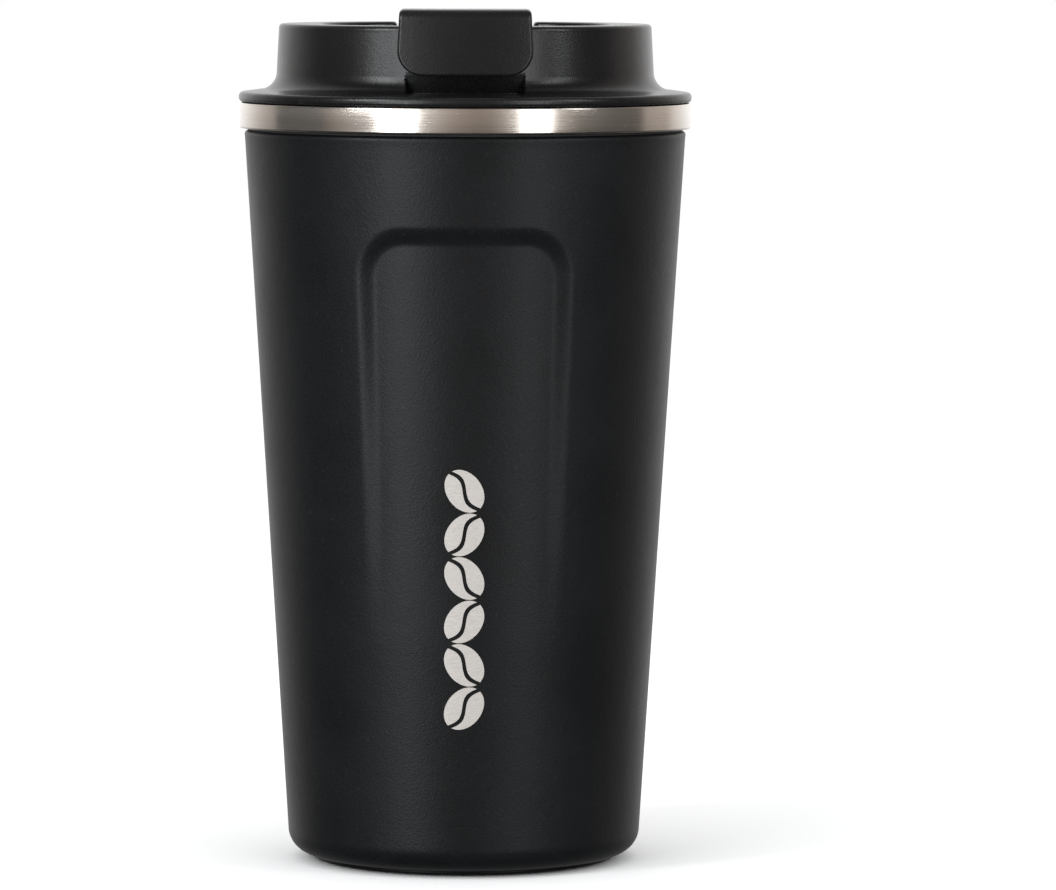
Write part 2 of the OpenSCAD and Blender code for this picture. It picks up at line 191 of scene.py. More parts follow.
def settle(f, p, step, rounds=3):
    """Moves points onto the surface f = 0."""
    for _ in range(rounds):
        g = gradient(f, p)
        d = f(*p.T) / np.maximum((g * g).sum(1), 0.05)
        p -= g * np.clip(d, -step, step)[:, None]
    return p


def field_mesh(name, f, lo, hi, voxel, keep=1.0):
    """Surface of a distance field, with its points and normals taken from the field itself."""
    lo = np.array(lo, float) - 3 * voxel
    axes = [np.arange(lo[i], hi[i] + 3 * voxel, voxel) for i in range(3)]
    d = f(axes[0][:, None, None], axes[1][None, :, None], axes[2][None, None, :])
    d = np.broadcast_to(d, [len(a) for a in axes]).astype(np.float32)
    band = 3 * voxel
    grid = openvdb.FloatGrid(band)
    grid.copyFromArray(np.clip(d, -band, band))
    points, triangles, quads = grid.convertToPolygons(0.0, 0.0)
    points = settle(f, points.astype(float) * voxel + lo, voxel * 0.6)
    faces = [tuple(q) for q in quads.tolist()] + [tuple(t) for t in triangles.tolist()]
    o = mesh_object(name, points * MM, faces)
    if keep < 1:
        thin = o.modifiers.new("thin", "DECIMATE")
        thin.ratio = keep
        thinned = bpy.data.meshes.new_from_object(o.evaluated_get(bpy.context.evaluated_depsgraph_get()))
        o.modifiers.remove(thin)
        old, o.data = o.data, thinned
        bpy.data.meshes.remove(old)
        o.data.name = name
        points = np.empty(len(thinned.vertices) * 3)
        thinned.vertices.foreach_get("co", points)
        points = settle(f, points.reshape(-1, 3) / MM, voxel * 0.3, 2)
        thinned.vertices.foreach_set("co", (points * MM).ravel())
        thinned.update()
        thinned.shade_smooth()
    g = gradient(f, points, 0.03)
    g /= np.maximum(np.linalg.norm(g, axis=1, keepdims=True), 1e-9)
    o.data.normals_split_custom_set_from_vertices(g.tolist())
    return o


def rounded(profile, n=6):
    """A closed profile of (r, z, corner radius) points, with each corner replaced by an arc."""
    out, count = [], len(profile)
    for i, (x, y, rad) in enumerate(profile):
        p = np.array([x, y], float)
        if rad <= 0:
            out.append(p)
            continue
        a = np.array(profile[i - 1][:2], float) - p
        b = np.array(profile[(i + 1) % count][:2], float) - p
        la, lb = np.linalg.norm(a), np.linalg.norm(b)
        a, b = a / la, b / lb
        half = math.acos(max(-1, min(1, float(a @ b)))) / 2
        back = min(rad / math.tan(half), 0.49 * la, 0.49 * lb)
        rad = back * math.tan(half)
        mid = (a + b) / np.linalg.norm(a + b)
        centre = p + mid * (rad / math.sin(half))
        v0, v1 = p + a * back - centre, p + b * back - centre
        turn = math.atan2(v0[0] * v1[1] - v0[1] * v1[0], float(v0 @ v1))
        for k in range(n + 1):
            t = turn * k / n
            c, s = math.cos(t), math.sin(t)
            out.append(centre + np.array([v0[0] * c - v0[1] * s, v0[0] * s + v0[1] * c]))
    return np.array(out)


def revolve(name, profile, segments=256, closed=True, shape=None):
    """Turns a profile of (r, z) points round the mug's axis. shape(r, z, azimuth) may change each radius."""
    profile = np.asarray(profile, float)
    az = np.arange(segments) * (2 * math.pi / segments)
    r = np.repeat(profile[:, :1], segments, 1)
    z = np.repeat(profile[:, 1:2], segments, 1)
    if shape is not None:
        r = shape(r, z, az[None, :])
    points = np.stack([r * np.sin(az), -r * np.cos(az), z], 2).reshape(-1, 3)
    rows = len(profile)
    faces = []
    for i in range(rows if closed else rows - 1):
        j = (i + 1) % rows
        for k in range(segments):
            m = (k + 1) % segments
            faces.append((i * segments + k, i * segments + m, j * segments + m, j * segments + k))
    o = mesh_object(name, points * MM, faces)
    b = bmesh.new()
    b.from_mesh(o.data)
    bmesh.ops.remove_doubles(b, verts=b.verts, dist=1e-7)
    bmesh.ops.dissolve_degenerate(b, edges=b.edges, dist=1e-8)
    bmesh.ops.recalc_face_normals(b, faces=b.faces)
    b.to_mesh(o.data)
    b.free()
    return o


# ---------------------------------------------------------------- case
def case_radius(z):
    taper = (CASE_TOP_R - CASE_LOW_R) / (CASE_TOP_Z - CASE_STRAIGHT_Z)
    return CASE_LOW_R + (z - CASE_STRAIGHT_Z) * taper


PANEL_HALF = math.radians(30)
PANEL_TOP_Z, PANEL_FADE_Z, PANEL_CORNER_R, PANEL_BORDER, PANEL_DEPTH = 128.2, 46.9, 10.0, 3.7, 1.35


def panel_depth(az, z):
    """How far the arched panels sit below the case, at the front and at the back."""
    turn = np.abs((az + math.pi / 2) % math.pi - math.pi / 2)
    radius = case_radius(z)
    across = (turn - PANEL_HALF) * radius + PANEL_CORNER_R
    up = (z - PANEL_TOP_Z) + PANEL_CORNER_R
    outside = length(np.maximum(across, 0), np.maximum(up, 0))
    d = outside + np.minimum(np.maximum(across, up), 0) - PANEL_CORNER_R
    fade = clamp((z - PANEL_FADE_Z) / (PANEL_TOP_Z - PANEL_BORDER - PANEL_FADE_Z))
    return PANEL_DEPTH * fade * (0.35 * clamp(-d / PANEL_BORDER) + 0.65 * ease(-d / PANEL_BORDER))


def quarter(centre_r, centre_z, radius, start, turn, steps):
    """Points along an arc in a profile, from the angle start through turn degrees."""
    for k in range(steps + 1):
        a = math.radians(start + turn * k / steps)
        yield centre_r + radius * math.cos(a), centre_z + radius * math.sin(a)


def build_case():
    shoulder_r = 0.75
    corner_z = CASE_LOW_Z + CASE_CORNER_R
    side = np.concatenate([
        np.linspace(CASE_TOP_Z - 1.2, PANEL_TOP_Z + 4, 8),
        np.linspace(PANEL_TOP_Z + 3, PANEL_TOP_Z - 15, 46),
        np.linspace(PANEL_TOP_Z - 16, corner_z + 0.3, 96),
    ])
    corner_r = case_radius(corner_z) - CASE_CORNER_R
    outer = [(case_radius(z), z) for z in side]
    outer += quarter(corner_r, corner_z, CASE_CORNER_R, 0, -90, 12)
    hole = CASE_HOLE_R
    rest = [(hole + 0.2, CASE_LOW_Z), (hole, CASE_LOW_Z + 0.2), (hole, CASE_LOW_Z + CASE_WALL)]
    rest += quarter(corner_r, corner_z, CASE_CORNER_R - CASE_WALL, -90, 90, 6)
    rest += [(case_radius(z) - CASE_WALL, z) for z in np.linspace(20, CASE_TOP_Z - 0.4, 8)]
    rest.append((CASE_TOP_R - CASE_WALL, CASE_TOP_Z))
    rest += quarter(CASE_TOP_R - shoulder_r, CASE_TOP_Z - shoulder_r, shoulder_r, 90, -90, 7)
    profile = outer + rest
    is_outer = np.zeros((len(profile), 1), bool)
    is_outer[:len(outer)] = True
    return revolve("case_skin", profile, 512, True,
                   lambda r, z, az: np.where(is_outer, r - panel_depth(az, z), r))


# ---------------------------------------------------------------- lid
def lid_cover_field(x, y, z):
    rr = length(x, y)
    slope = clamp((FLANGE_R - FLANGE_ROUND - rr) / FLANGE_SLOPE_W)
    flange_top = FLANGE_Z + FLANGE_EDGE_H + FLANGE_RISE * slope
    riser = rr - (RISER_R - (RISER_R - CROWN_R) * clamp((z - FLANGE_Z - TAPER_START) / TAPER_H))
    body = join(both(rr - FLANGE_R, z - flange_top, FLANGE_ROUND), riser, FILLET_R)
    under = RISER_R - UNDERCUT * clamp(1 - (z - RELIEF_Z) / RELIEF_H)
    relief = np.maximum(np.maximum(np.abs(x) - RELIEF_HALF, y - RELIEF_BACK_Y), (under - rr) * UNDERCUT_COS)
    body = cut(body, np.maximum(relief, slab(z, RELIEF_Z, RELIEF_Z + RELIEF_H)), 0.15)
    body = both(body, FLANGE_Z - z, 0.8)
    body = cut(body, recess(x, y), 0.05)
    notch = np.maximum(np.abs(x) - NOTCH_HALF, TAB_BACK_Y - y)
    upper = both(cut(body, notch, 1.3), z - CROWN_Z, 0.85)
    lower = both(body, z - NOTCH_Z, 0.3)
    body = join(upper, lower)
    inner_notch = np.maximum(np.maximum(notch, rr - CORE_R - 0.1), DECK_Z - z)
    body = cut(body, inner_notch, 0.1)
    body = cut(body, np.maximum(rr - BORE_R, z - SHELF_Z - 0.1), 0.15)
    return cut(body, np.maximum(rr - CORE_R - 0.4, z - DECK_Z - 0.1), 0.1)


def plate_top(z, outline):
    """Height over a plate's top, which is a shallow field inside a raised rim."""
    rim_w, slope_w, sunk = 0.8, 0.9, 0.32
    return z - (PLATE_Z - sunk * ease((-outline - rim_w) / slope_w))


def deck_plate_field(x, y, z):
    outline = cut(recess(x, y, -0.2), y - HINGE_GAP_Y, 0.4)
    outline = cut(outline, np.maximum(np.abs(x) - NOTCH_HALF - 0.6, TAB_BACK_Y - y), 0.3)
    return both(both(outline, plate_top(z, outline), 0.45), DECK_Z + 0.02 - z, 0.1)


def notch_pad_field(x, y, z):
    sides = np.maximum(np.abs(x) - NOTCH_HALF + 1.0, TAB_BACK_Y + 0.25 - y)
    outline = both(length(x, y) - CORE_R + 0.1, sides, 0.4)
    return both(both(outline, z - NOTCH_Z, 0.35), DECK_Z + 0.02 - z, 0.1)


def flap_field(x, y, z):
    rr = length(x, y)
    outline = both(recess(x, y, -0.5), y + HINGE_GAP_Y, 0.4)
    plate = both(both(outline, plate_top(z, outline), 0.45), PLATE_Z - PLATE_T - z, 0.3)
    bar = brick(x, y, z - HINGE_Z, BAR_HALF, 2.5, 1.8, 0.7)
    web = brick(x, y + 3.6, z - HINGE_Z + 1.2, BAR_HALF, 3.4, 0.6, 0.15)
    bow = TAB_BOW * (1 - (x / TAB_HALF) ** 2)
    neck = np.maximum(np.maximum(np.abs(x) - NECK_HALF, y + TAB_BACK_Y + bow), NECK_FRONT_Y - y)
    neck = np.maximum(neck, slab(z, PLATE_Z - PLATE_T, CROWN_Z + 2))
    mid = (TAB_TOP_Z + TAB_LOW_Z) / 2
    corner = np.where(z > mid, TAB_TOP_CORNER, TAB_LOW_CORNER)
    half = TAB_HALF - TAB_TAPER * clamp((z - TAB_LOW_Z - 5) / 8)
    qx, qz = np.abs(x) - half + corner, np.abs(z - mid) - (TAB_TOP_Z - mid) + corner
    face = length(np.maximum(qx, 0), np.maximum(qz, 0)) + np.minimum(np.maximum(qx, qz), 0) - corner
    under = np.maximum(rr - CROWN_R - 0.9, z - CROWN_Z - 0.2)
    front = length(x, y - TAB_FACE_R + TAB_OUT) - TAB_FACE_R
    sweep = cut(both(front, z - TAB_TOP_Z, 2.2), under, 0.25)
    tab = both(both(sweep, face, 0.55), y + TAB_BACK_Y + bow, 0.5)
    body = join(join(plate, join(neck, tab)), join(bar, web, 0.5), 0.3)
    body = cut(body, length(y, z - HINGE_Z) - PIN_BORE_R, 0.08)
    pocket = np.maximum(slot(x, y - SPOUT_Y, SPOUT_W + 5, SPOUT_L + 4), z - PLATE_Z + SEAT_DEPTH)
    button = np.maximum(length(x, y - VENT_Y) - 2.7, z - PLATE_Z + SEAT_DEPTH)
    return cut(cut(body, pocket, 0.1), button, 0.1)


def lid_core_field(x, y, z):
    rr = length(x, y)
    shell = np.maximum(rr - SKIRT_R, z - FLANGE_Z + 0.02)
    lead = (rr - SKIRT_R) * 0.83 + (PLUG_Z + LEAD_H - z) * 0.55
    shell = both(np.maximum(shell, lead), PLUG_Z - z, 0.25)
    collar = np.maximum(rr - BORE_R + 0.1, np.maximum(z - SHELF_Z, PLUG_Z + PLUG_END_H - z))
    deck = np.maximum(both(rr - CORE_R, z - DECK_Z + 0.02, 0.2), PLUG_Z + PLUG_END_H - z)
    body = join(join(shell, collar), deck)
    groove = np.maximum(SKIRT_R - GROOVE_DEPTH - rr, slab(z, PLUG_Z + GROOVE_LOW, PLUG_Z + GROOVE_HIGH))
    body = cut(body, groove, 0.12)
    hollow_side = rr - SKIRT_R + SKIRT_WALL + 3.5 * clamp((z - FLANGE_Z + 1) / 4)
    hollow = np.maximum(hollow_side, z - DECK_Z + SHELL_T)
    body = cut(body, hollow, 0.1)
    top = both(z - COLLAR_Z, PLUG_Z + 0.2 - z)
    body = join(body, both(slot(x, y - SPOUT_Y, SPOUT_W + 3.2, SPOUT_L + 3.2), top, 0.35), 0.3)
    body = join(body, both(length(x, y - VENT_Y) - VENT_R - 1.3, top, 0.35), 0.3)
    body = cut(body, slot(x, y - SPOUT_Y, SPOUT_W, SPOUT_L), 0.35)
    return cut(body, length(x, y - VENT_Y) - VENT_R, 0.25)


def drink_seal_field(x, y, z):
    top, bottom = PLATE_Z - SEAL_DEPTH, COLLAR_Z + 0.1
    base = both(slot(x, y - SPOUT_Y, SPOUT_W + 4.9, SPOUT_L + 3.9), slab(z, bottom, top), 0.35)
    span = slab(z, low("drink_seal"), top - 0.4)
    nose = both(slot(x, y - SPOUT_Y, SPOUT_W - 1.2, SPOUT_L - 1.2), span, 0.6)
    return join(base, nose, 0.3)


def vent_seal_field(x, y, z):
    rr = length(x, y - VENT_Y)
    top, bottom = PLATE_Z - SEAL_DEPTH, COLLAR_Z + 0.1
    base = both(rr - 2.65, slab(z, bottom, top), 0.35)
    nose = both(rr - VENT_R + 0.6, slab(z, low("vent_seal"), top - 0.4), 0.3)
    return join(base, nose, 0.25)


def place(o, body, node, material):
    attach(o, body)
    if node:
        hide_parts(node)
    o.data.materials.clear()
    o.data.materials.append(material)
    return o


# ---------------------------------------------------------------- materials
class Tree:
    """A material's node tree, with short calls for the nodes the looks need."""

    def __init__(self, name):
        self.material = bpy.data.materials.new(name)
        self.material.use_nodes = True
        self.tree = self.material.node_tree
        self.bsdf = self.tree.nodes["Principled BSDF"]
        self.where = self.tree.nodes.new("ShaderNodeTexCoord").outputs["Object"]

    def node(self, kind, values=None, **settings):
        n = self.tree.nodes.new(kind)
        for key, value in settings.items():
            setattr(n, key, value)
        for key, value in (values or {}).items():
            self.put(n.inputs[key], value)
        return n

    def put(self, socket, value):
        if isinstance(value, bpy.types.NodeSocket):
            self.tree.links.new(value, socket)
        elif isinstance(value, (tuple, list)) and len(value) == 3 and socket.type == "RGBA":
            socket.default_value = (*value, 1)
        else:
            socket.default_value = value

    def noise(self, scale, detail=2.0, rough=0.5, stretch=(1, 1, 1), distort=0.0, where=None):
        spot = self.node("ShaderNodeMapping", {"Vector": where or self.where, "Scale": stretch}).outputs[0]
        return self.node("ShaderNodeTexNoise", {"Vector": spot, "Scale": scale, "Detail": detail,
                                                "Roughness": rough, "Distortion": distort}).outputs["Fac"]

    def cells(self, scale, smooth=0.6, where=None):
        inputs = {"Vector": where or self.where, "Scale": scale, "Smoothness": smooth}
        return self.node("ShaderNodeTexVoronoi", inputs, feature="SMOOTH_F1").outputs["Distance"]

    def remap(self, value, a, b, c, d):
        return self.node("ShaderNodeMapRange", {"Value": value, "From Min": a, "From Max": b,
                                                "To Min": c, "To Max": d}).outputs[0]

    def math(self, operation, a, b=0.5):
        n = self.tree.nodes.new("ShaderNodeMath")
        n.operation = operation
        self.put(n.inputs[0], a)
        self.put(n.inputs[1], b)
        return n.outputs[0]

    def mix(self, share, a, b):
        n = self.tree.nodes.new("ShaderNodeMix")
        n.data_type = "RGBA"
        self.put(n.inputs[0], share)
        self.put(n.inputs[6], a)
        self.put(n.inputs[7], b)
        return n.outputs[2]

    def bump(self, height, distance, strength=1.0, under=None):
        n = self.node("ShaderNodeBump", {"Height": height, "Distance": distance, "Strength": strength})
        if under is not None:
            self.put(n.inputs["Normal"], under)
        return n.outputs[0]

    def edge_wear(self, low_value, high_value):
        """About 1 on worn outside edges and 0 on flat areas, broken up by noise."""
        point = self.node("ShaderNodeNewGeometry").outputs["Pointiness"]
        return self.math("MULTIPLY", self.remap(point, low_value, high_value, 0, 1), self.noise(900, 3))

    def set(self, **values):
        for key, value in values.items():
            self.put(self.bsdf.inputs[key.replace("_", " ")], value)
        return self.material


def shade(colour, factor):
    return tuple(c * factor for c in colour)


def moulded_plastic(name, colour, light, rough, grain, depth, speck=0.0, shine=0.5):
    """Moulded plastic or a soft coat: a fine grain, a broad mottle and slightly shiny worn edges."""
    t = Tree(name)
    broad = t.noise(38, 3, 0.55)
    fine = t.noise(grain, 3, 0.6)
    pits = t.cells(grain * 1.25)
    share = t.math("ADD", t.math("MULTIPLY", broad, 0.6), t.math("MULTIPLY", fine, 0.4))
    base = t.mix(t.remap(share, 0.35, 0.65, 0, 1), colour, light)
    wear = t.edge_wear(0.515, 0.56)
    base = t.mix(t.math("MULTIPLY", wear, 0.35), base, tuple(min(1, c * 1.8 + 0.01) for c in light))
    # Painted glints: rare light specks in the base colour stand in for glints off the coat's orange peel.
    if speck:
        painted_glint_specks = t.remap(t.noise(grain * 0.6, 1, 0.4), 0.70, 0.78, 0, speck)
        base = t.mix(painted_glint_specks, base, (0.12, 0.12, 0.12))
    gloss = t.remap(share, 0.3, 0.7, rough - 0.05, rough + 0.06)
    gloss = t.math("SUBTRACT", gloss, t.math("MULTIPLY", wear, 0.08))
    relief = t.bump(t.math("ADD", t.math("MULTIPLY", fine, 0.6), t.math("MULTIPLY", pits, 0.5)), depth)
    relief = t.bump(t.noise(grain * 0.12, 2, 0.5), depth * 2.2, 0.5, relief)
    return t.set(Base_Color=base, Roughness=gloss, Normal=relief, IOR=1.5, Specular_IOR_Level=shine)


def brushed_metal(name, colour, rough, turns=True, streak=0.12, warm=(0.02, 0.01, 0.0)):
    """Metal with fine streaks, a broad cloud and a few scuffs. With turns, it is brushed round the mug."""
    along, across = 14.0, 5200.0 if turns else 14.0
    t = Tree(name)
    split = t.node("ShaderNodeSeparateXYZ", {"Vector": t.where})
    lines = t.node("ShaderNodeCombineXYZ", {"X": t.math("MULTIPLY", split.outputs[0], along),
                                            "Y": t.math("MULTIPLY", split.outputs[1], along),
                                            "Z": t.math("MULTIPLY", split.outputs[2], across)})
    streaks = t.noise(1.0, 4, 0.65, where=lines.outputs[0])
    cloud = t.noise(55, 3, 0.5)
    scuff = t.remap(t.noise(420, 2, 0.5, (1, 1, 9)), 0.66, 0.74, 0, 1)
    base = t.mix(t.remap(streaks, 0.3, 0.7, 0, 1), shade(colour, 0.86), colour)
    base = t.mix(t.math("MULTIPLY", t.remap(cloud, 0.35, 0.7, 0, 1), 0.3), base,
                 tuple(c * 0.92 + w for c, w in zip(colour, warm)))
    gloss = t.remap(streaks, 0.3, 0.7, rough - 0.05, rough + 0.08)
    gloss = t.math("ADD", gloss, t.math("MULTIPLY", scuff, streak))
    return t.set(Base_Color=base, Metallic=1.0, Roughness=gloss, Anisotropic=0.35,
                 Normal=t.bump(streaks, 0.00002, 0.35))


def satin_print(name, colour):
    """Satin metal print: a pale, finely brushed coat that scatters most of the light."""
    t = Tree(name)
    brushed = t.noise(700, 3, 0.6, (1, 1, 9))
    grain = t.noise(3000, 2)
    base = t.mix(t.remap(brushed, 0.3, 0.7, 0, 1), shade(colour, 0.9), shade(colour, 1.08))
    return t.set(Base_Color=base, Metallic=0.35, Roughness=t.remap(grain, 0.3, 0.7, 0.36, 0.5),
                 Normal=t.bump(grain, 0.00002, 0.5))


def silicone(name, colour, rough=0.45):
    """Rubber or silicone with a dusty, slightly mottled skin."""
    t = Tree(name)
    cloud, fine = t.noise(90, 3), t.noise(2600, 2)
    base = t.mix(t.remap(cloud, 0.3, 0.7, 0, 1), shade(colour, 0.8), shade(colour, 1.15))
    return t.set(Base_Color=base, Roughness=t.remap(fine, 0.3, 0.7, rough - 0.06, rough + 0.1),
                 Normal=t.bump(fine, 0.00004, 0.5))


def foam(name, colour):
    """Closed-cell foam with visible cells, their pits darkened by painted shade."""
    t = Tree(name)
    pores = t.cells(1100, 0.3)
    # Painted shade: each cell's pit is painted darker towards its middle, where the bump sinks it.
    base = t.mix(t.remap(pores, 0.1, 0.6, 0, 1), shade(colour, 0.5), colour)
    return t.set(Base_Color=base, Roughness=t.remap(pores, 0.0, 0.7, 0.95, 0.8),
                 Normal=t.bump(pores, 0.0004, 0.7))


case_coat = moulded_plastic("case_coat", (0.0022, 0.0026, 0.0031), (0.0042, 0.0048, 0.0056),
                            rough=0.40, grain=1900, depth=0.00004, speck=0.03, shine=0.24)
lid_plastic = moulded_plastic("lid_plastic", (0.0024, 0.0025, 0.0029), (0.0036, 0.0037, 0.0042),
                              rough=0.27, grain=2600, depth=0.000025, shine=0.42)
core_plastic = moulded_plastic("core_plastic", (0.0040, 0.0040, 0.0045), (0.0065, 0.0065, 0.0073),
                               rough=0.34, grain=2400, depth=0.00003, shine=0.4)
foot_plastic = moulded_plastic("foot_plastic", (0.0020, 0.0020, 0.0023), (0.0032, 0.0032, 0.0036),
                               rough=0.42, grain=2200, depth=0.00003, shine=0.14)
band_steel = brushed_metal("band_steel", (0.73, 0.675, 0.62), 0.14)
liner_steel = brushed_metal("liner_steel", (0.72, 0.71, 0.69), 0.28)
pin_steel = brushed_metal("pin_steel", (0.68, 0.67, 0.66), 0.18, False)
foil_copper = brushed_metal("foil_copper", (0.72, 0.42, 0.27), 0.3, False, 0.2)
getter_metal = brushed_metal("getter_metal", (0.40, 0.40, 0.40), 0.5, False)
mark_metal = satin_print("mark_metal", (0.43, 0.405, 0.385))
black_rubber = silicone("black_rubber", (0.012, 0.012, 0.0125), 0.62)
grey_silicone = silicone("grey_silicone", (0.10, 0.104, 0.11), 0.4)
spacer_foam = foam("spacer_foam", (0.05, 0.05, 0.055))


# ---------------------------------------------------------------- the mug's pieces
place(build_case(), "mug", "case_shell", case_coat)

step_z = CASE_TOP_Z + 0.5
flask_low = low("vacuum_wall")


def flask_radius(z):
    return case_radius(z) - CASE_WALL - CASE_GAP


def liner_radius(z):
    return flask_radius(z) - SHEET - VACUUM_GAP - SHEET


band = rounded([
    (flask_radius(flask_low), flask_low, 0), (flask_radius(step_z), step_z, 0.15), (BAND_R, step_z, 0.42),
    (BAND_R, RIM_Z, 0.5), (BAND_R - SHEET, RIM_Z, 0.05), (BAND_R - SHEET, step_z + SHEET, 0.2),
    (flask_radius(step_z) - SHEET, step_z + SHEET, 0.2), (flask_radius(flask_low) - SHEET, flask_low, 0)], 8)
place(revolve("steel_band", band, 384), "mug", "vacuum_wall", band_steel)

seal_in, seal_out = 42.3, 43.35
seal = rounded([(seal_in, RING_LOW_Z, 0.05), (seal_out, RING_LOW_Z, 0.12),
                (seal_out, RING_TOP_Z, 0.12), (seal_in, RING_TOP_Z, 0.05)], 4)
place(revolve("case_seal", seal, 256), "mug", "case_seal_ring", black_rubber)

liner_low = low("inner_liner")
neck = RIM_Z - NECK_DROP
lip_r = BAND_R - SHEET - 0.03
liner = rounded([
    (0.4, liner_low, 0), (liner_radius(liner_low) + SHEET, liner_low, 9),
    (liner_radius(neck - 9) + SHEET, neck - 9, 4), (MOUTH_R + SHEET, neck, 3),
    (MOUTH_R + SHEET, RIM_Z - SHEET, 0.3), (lip_r, RIM_Z - SHEET, 0), (lip_r, RIM_Z, 0.1),
    (MOUTH_R, RIM_Z, 0.9), (MOUTH_R, neck, 4),
    (liner_radius(neck - 9), neck - 9, 5), (liner_radius(liner_low), liner_low + SHEET, 8.3),
    (0.4, liner_low + SHEET, 0)], 10)
place(revolve("steel_liner", liner, 256), "mug", "inner_liner", liner_steel)

foot_r, foot_low, foot_top = high("base_cap", 0), low("base_cap"), high("base_cap")
pad_in, pad_out, pad_top = 20.0, 26.0, 1.3
plug_out, plug_in, disc_top = 26.9, 25.3, 2.5
ledge = CASE_LOW_Z - 0.02
cap = rounded([
    (0.3, pad_top, 0), (pad_in - 2, pad_top, 0.3), (pad_in - 1.4, foot_low, 0.2), (pad_in, foot_low, 0.15),
    (pad_in, pad_top, 0), (pad_out, pad_top, 0), (pad_out, foot_low, 0.15), (foot_r, foot_low, 0.38),
    (foot_r, ledge, 0.12), (plug_out, ledge, 0), (plug_out, foot_top, 0.2), (plug_in, foot_top, 0.2),
    (plug_in, disc_top, 0.2), (0.3, disc_top, 0)], 6)
place(revolve("foot_cap", cap, 256), "mug", "base_cap", foot_plastic)

tread = [(pad_in + 0.1, pad_top - 0.02, 0), (pad_in + 0.1, 0, 0.35)]
for k in range(3):
    a = pad_in + 1.6 + k * 1.4
    tread += [(a - 0.3, 0, 0.12), (a - 0.2, 0.35, 0.1), (a + 0.2, 0.35, 0.1), (a + 0.3, 0, 0.12)]
tread += [(pad_out - 0.1, 0, 0.35), (pad_out - 0.1, pad_top - 0.02, 0)]
place(revolve("foot_pad", rounded(tread, 4), 256), "mug", "base_pad", black_rubber)


# The mark: a column of coffee beans, leaning left and right in turn
BEANS, BEAN_H, BEAN_PITCH, MARK_TOP_Z = 6, 8.2, 8.55, 80.9
BEAN_REACH, BEAN_TIP, BEAN_LEAN, BEAN_STEPS = 8.6 * 0.40, BEAN_H * 0.56, math.radians(38), 40
SEAM_HALF, SEAM_WAVE, LEAST_STEP, LONGEST_EDGE = 0.42, 0.85, 0.06, 0.9
MARK_ABOVE, MARK_BELOW = 0.16, 0.25


def seam_at(v, side, half):
    """Where one half of a bean stops at the curved seam, at height v."""
    return side * SEAM_WAVE * math.sin(v / BEAN_TIP * math.pi) + half * SEAM_HALF


def half_bean(side, half):
    """Outline of one half of an upright bean."""
    outline = []
    for k in range(BEAN_STEPS + 1):
        t = math.pi * k / BEAN_STEPS
        u, v = half * BEAN_REACH * math.sin(t), BEAN_TIP * math.cos(t)
        edge = seam_at(v, side, half)
        outline.append((max(u, edge) if half > 0 else min(u, edge), v))
    for k in range(1, BEAN_STEPS):
        v = -BEAN_TIP + 2 * BEAN_TIP * k / BEAN_STEPS
        outline.append((seam_at(v, side, half), v))
    return outline


def lean_over(outline, lean, middle_z):
    """Leans an outline over and lifts it into place, without the points that nearly meet."""
    points = []
    for u, v in outline:
        x = u * math.cos(lean) - v * math.sin(lean)
        z = middle_z + u * math.sin(lean) + v * math.cos(lean)
        if not points or math.hypot(x - points[-1][0], z - points[-1][1]) > LEAST_STEP:
            points.append((x, z))
    return points


def bean_mark():
    """The beans as thin metal, wrapped on to the front panel."""
    b = bmesh.new()
    for i in range(BEANS):
        side = 1 if i % 2 == 0 else -1
        middle_z = MARK_TOP_Z - BEAN_H / 2 - i * BEAN_PITCH
        for half in (-1, 1):
            points = lean_over(half_bean(side, half), side * BEAN_LEAN, middle_z)
            face = b.faces.new([b.verts.new((x, 0, z)) for x, z in points])
            if face.normal.y > 0:
                face.normal_flip()
    bmesh.ops.triangulate(b, faces=b.faces[:], ngon_method="EAR_CLIP")
    for _ in range(2):
        long_edges = [e for e in b.edges if e.calc_length() > LONGEST_EDGE]
        bmesh.ops.subdivide_edges(b, edges=long_edges, cuts=1)
        bmesh.ops.triangulate(b, faces=[f for f in b.faces if len(f.verts) > 3])
    grown = bmesh.ops.extrude_face_region(b, geom=list(b.faces))
    for v in (g for g in grown["geom"] if isinstance(g, bmesh.types.BMVert)):
        v.co.y = 1.0
    bmesh.ops.recalc_face_normals(b, faces=b.faces)
    for v in b.verts:
        z = v.co.z
        az = v.co.x / case_radius(z)
        depth = float(panel_depth(np.array([az]), np.array([z]))[0])
        r = case_radius(z) - depth + (MARK_ABOVE if v.co.y < 0.5 else -MARK_BELOW)
        v.co = Vector((r * math.sin(az), -r * math.cos(az), z)) * MM
    mesh = bpy.data.meshes.new("bean_mark")
    b.to_mesh(mesh)
    b.free()
    o = bpy.data.objects.new("bean_mark", mesh)
    bpy.context.scene.collection.objects.link(o)
    bevel = o.modifiers.new("edge", "BEVEL")
    bevel.width = 0.05 * MM
    bevel.segments = 2
    bevel.limit_method = "ANGLE"
    bevel.angle_limit = math.radians(50)
    return o


place(bean_mark(), "mug", None, mark_metal)

# ---------------------------------------------------------------- the lid's pieces
lid_cover_low, lid_cover_high = (-FLANGE_R, -FLANGE_R, FLANGE_Z), (FLANGE_R, FLANGE_R, CROWN_Z)
place(field_mesh("lid_cover_skin", lid_cover_field, lid_cover_low, lid_cover_high, 0.3, 0.6),
      "lid", "lid_cover", lid_plastic)
place(field_mesh("rear_plate", deck_plate_field, (-29, 5, DECK_Z), (29, 28, PLATE_Z), 0.2, 0.4),
      "lid", "deck_plate", lid_plastic)
place(field_mesh("rear_notch_pad", notch_pad_field, (-14, 23, DECK_Z), (14, 36, NOTCH_Z), 0.2, 0.5),
      "lid", "notch_pad", core_plastic)
place(field_mesh("plug_core", lid_core_field, (-39, -39, PLUG_Z), (39, 39, COLLAR_Z), 0.36, 0.6),
      "lid", "lid_core", core_plastic)

